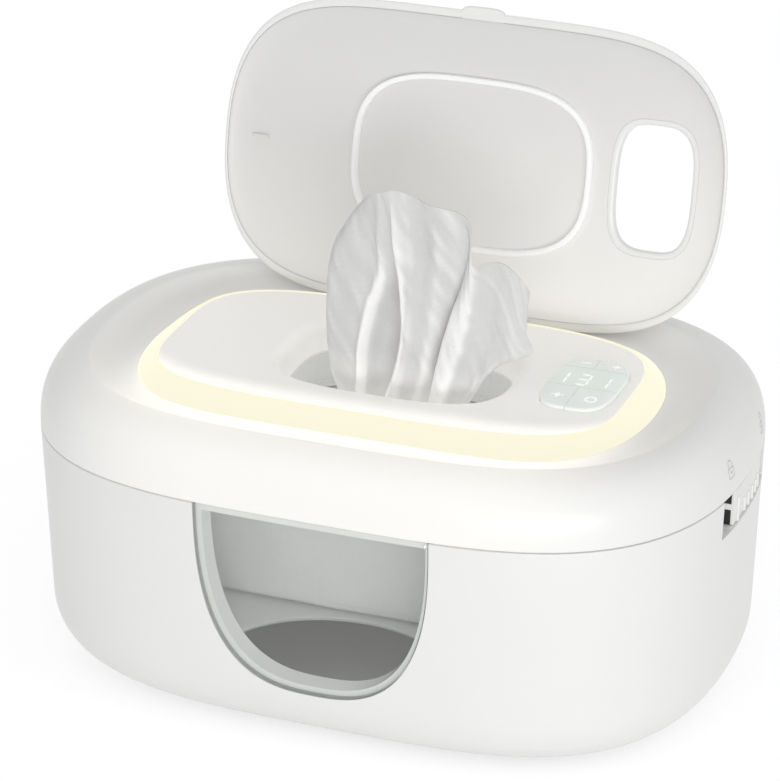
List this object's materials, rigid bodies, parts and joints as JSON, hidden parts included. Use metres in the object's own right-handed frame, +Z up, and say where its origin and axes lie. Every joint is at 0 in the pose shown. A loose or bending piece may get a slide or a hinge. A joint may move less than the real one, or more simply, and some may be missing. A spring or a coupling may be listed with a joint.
{
  "type": "baby wipe warmer",
  "caption": "Rounded countertop wipe warmer with a hinged lid, lit ring, dispensing mouth, key panel, front window, side latches and a sprung plate that lifts the wipe pack.",
  "frame": {"origin": "centre of the footprint, on the surface that the feet stand on", "axes": "+X along the long side towards the panel end, +Y from the window side to the lid's hinge, +Z up"},
  "size_m": [0.236, 0.1644, 0.2018],
  "materials": {
    "shell": "white satin moulded plastic",
    "deck": "white satin moulded plastic, warmed by the ring's light",
    "liner": "light grey-white satin moulded plastic",
    "inner": "white matt moulded plastic",
    "diffuser": "translucent warm white diffuser, lit from below",
    "panel": "pale grey-green glossy caps and display lens",
    "window": "clear, faintly green moulded plastic",
    "window_frame": "translucent pale grey-green moulded plastic",
    "feet": "grey soft rubber",
    "seal": "pale silicone rubber",
    "spring_steel": "drawn spring wire",
    "hinge_steel": "drawn steel rod",
    "screw_steel": "zinc-plated screws",
    "heater_plate": "rolled sheet, faintly brushed",
    "heater_film": "amber film with a printed heating track",
    "circuit_board": "green solder mask",
    "dark_parts": "black moulded plastic",
    "pack_film": "thin printed film over soft wet wipes",
    "wipe_cloth": "white damp non-woven sheet, faintly embossed"
  },
  "bodies": {
    "case": {"lower_case": "shell", "window_pane": "window", "window_frame": "window_frame", "spring_seat_plate": "inner", "foot_front_left": "feet", "foot_front_right": "feet", "foot_rear_left": "feet", "foot_rear_right": "feet", "lift_spring_front_left": "spring_steel", "lift_spring_front_right": "spring_steel", "lift_spring_rear_left": "spring_steel", "lift_spring_rear_right": "spring_steel"},
    "lift": {"pack_lift_plate": "inner", "wipe_pack": "pack_film"},
    "top_cover": {"wipe_sheet": "wipe_cloth", "top_shell": "shell", "light_ring": "diffuser", "light_board": "circuit_board", "top_deck": "deck", "display_lens": "panel", "control_board": "circuit_board", "display_block": "dark_parts", "switch_minus": "dark_parts", "switch_plus": "dark_parts", "switch_light": "dark_parts", "switch_power": "dark_parts", "bottom_cover": "inner", "heater_film": "heater_film", "heater_plate": "heater_plate", "power_inlet": "dark_parts", "hinge_pin": "hinge_steel", "cover_screw_front_left": "screw_steel", "cover_screw_front_right": "screw_steel", "cover_screw_rear_left": "screw_steel", "cover_screw_rear_right": "screw_steel", "cover_screw_front_middle": "screw_steel", "cover_screw_rear_middle": "screw_steel"},
    "lid": {"lid_cover": "shell", "lid_liner": "liner", "lid_seal": "seal"},
    "key_minus": {"key_minus": "panel"},
    "key_plus": {"key_plus": "panel"},
    "key_light": {"key_light": "panel"},
    "key_power": {"key_power": "panel"},
    "latch_left": {"latch_slider_left": "shell", "latch_hook_left": "inner"},
    "latch_right": {"latch_slider_right": "shell", "latch_hook_right": "inner"}
  },
  "joints": [
    {"name": "pack_lift", "type": "slide", "parent": "case", "child": "lift", "axis": [0, 0, 1], "range_m": [-0.014, 0], "stiffness_N_per_m": 400, "springref_m": 0.035, "deforming": ["lift_spring_front_left", "lift_spring_front_right", "lift_spring_rear_left", "lift_spring_rear_right"]},
    {"name": "top_cover_lift", "type": "slide", "parent": "case", "child": "top_cover", "axis": [0, 0, 1], "range_m": [0, 0.12]},
    {"name": "lid_hinge", "type": "hinge", "parent": "top_cover", "child": "lid", "pos_m": [0, 0.0492, 0.1032], "axis": [1, 0, 0], "range_deg": [0, 103.3], "deforming": ["wipe_sheet"]},
    {"name": "latch_left_slide", "type": "slide", "parent": "case", "child": "latch_left", "axis": [0, -1, 0], "range_m": [0, 0.0054]},
    {"name": "latch_right_slide", "type": "slide", "parent": "case", "child": "latch_right", "axis": [0, -1, 0], "range_m": [0, 0.0054]},
    {"name": "key_minus_press", "type": "slide", "parent": "top_cover", "child": "key_minus", "axis": [0, 0, -1], "range_m": [0, 0.0004], "stiffness_N_per_m": 500, "springref_m": -0.001},
    {"name": "key_plus_press", "type": "slide", "parent": "top_cover", "child": "key_plus", "axis": [0, 0, -1], "range_m": [0, 0.0004], "stiffness_N_per_m": 500, "springref_m": -0.001},
    {"name": "key_light_press", "type": "slide", "parent": "top_cover", "child": "key_light", "axis": [0, 0, -1], "range_m": [0, 0.0004], "stiffness_N_per_m": 500, "springref_m": -0.001},
    {"name": "key_power_press", "type": "slide", "parent": "top_cover", "child": "key_power", "axis": [0, 0, -1], "range_m": [0, 0.0004], "stiffness_N_per_m": 500, "springref_m": -0.001}
  ]
}
